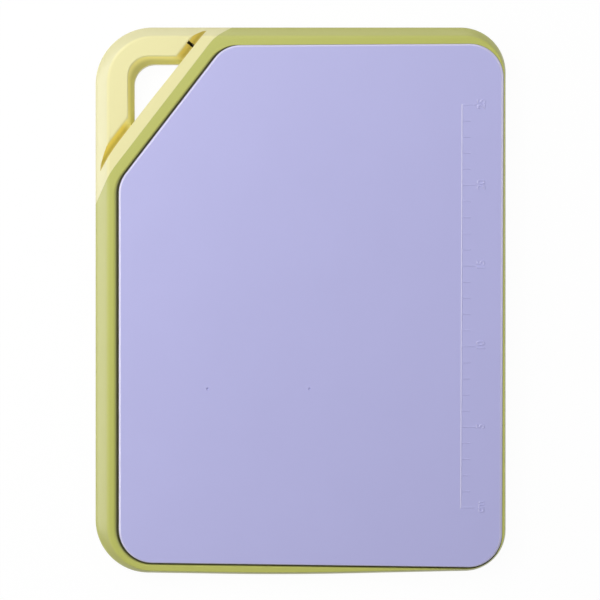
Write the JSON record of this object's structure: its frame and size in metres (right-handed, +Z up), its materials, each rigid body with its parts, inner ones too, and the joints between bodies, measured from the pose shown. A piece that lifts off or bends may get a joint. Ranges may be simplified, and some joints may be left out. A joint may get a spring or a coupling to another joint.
{
  "type": "cutting board",
  "caption": "Plastic cutting board with ruled lilac plates, a soft olive rim and a pale yellow corner handle with a hand hole and a knife-sharpening slit.",
  "frame": {"origin": "on the table, under the middle of the board's outline, with the board lying flat", "axes": "+Z up out of the ruled face, +Y along the board towards the end with the corner handle, +X across it towards the ruler"},
  "size_m": [0.2554, 0.3404, 0.0122],
  "materials": {
    "plate": "lilac, fine satin moulded texture",
    "handle": "pale yellow, satin moulded",
    "rim": "olive green, matte soft-touch",
    "stone": "dark grey, dull ceramic"
  },
  "bodies": {
    "root": {"front_plate": "plate", "back_plate": "plate", "corner_handle": "handle", "soft_rim": "rim", "sharpener_stone": "stone", "sharpener_cap": "handle"}
  },
  "joints": []
}
